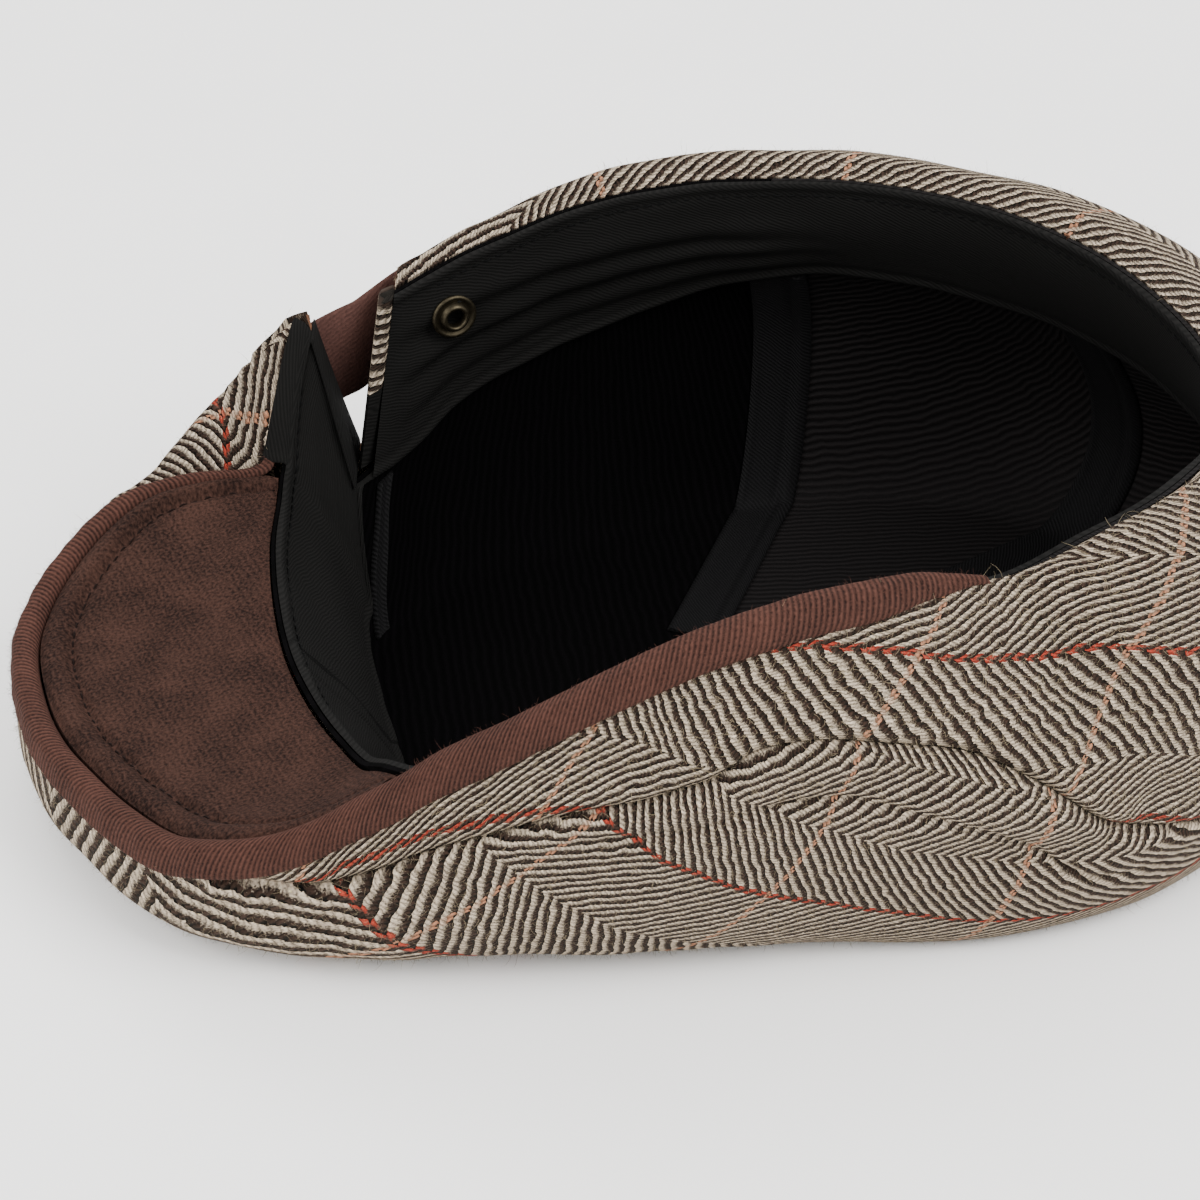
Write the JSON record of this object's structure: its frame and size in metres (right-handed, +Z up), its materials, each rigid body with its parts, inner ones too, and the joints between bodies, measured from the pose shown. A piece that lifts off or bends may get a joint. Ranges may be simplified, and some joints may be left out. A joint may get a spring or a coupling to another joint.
{
  "type": "flat cap",
  "caption": "Tweed flat cap lying upside down on its crown, with a stiff curved peak, a bound lower edge, a taped lining, a sweatband and an adjuster notch closed by a strap and a press stud.",
  "frame": {"origin": "on the flat of the crown that the cap rests on, below the middle of the head opening", "axes": "-X towards the peak, +X towards the nape, +Y towards the wearer's left ear, +Z up through the head opening, with the cap upside down"},
  "size_m": [0.2906, 0.1916, 0.1005],
  "materials": {
    "tweed": "hairy herringbone wool tweed with a thin overcheck",
    "brushed_wool": "brushed brown wool",
    "edge_wool": "ribbed brown wool binding",
    "lining": "black ribbed twill",
    "tape": "black twill tape",
    "sweatband": "charcoal cotton",
    "stud": "antique finish, rubbed"
  },
  "bodies": {
    "root": {"top_panel": "tweed", "side_panel_right": "tweed", "side_panel_left": "tweed", "notch_facing": "tweed", "peak": "brushed_wool", "edge_band": "edge_wool", "lining_front": "lining", "lining_right": "lining", "lining_back": "lining", "lining_left": "lining", "seam_tape_right": "tape", "seam_tape_back_right": "tape", "seam_tape_back_left": "tape", "seam_tape_left": "tape", "sweatband": "sweatband", "adjuster_strap": "edge_wool", "ring_snap": "stud"}
  },
  "joints": []
}
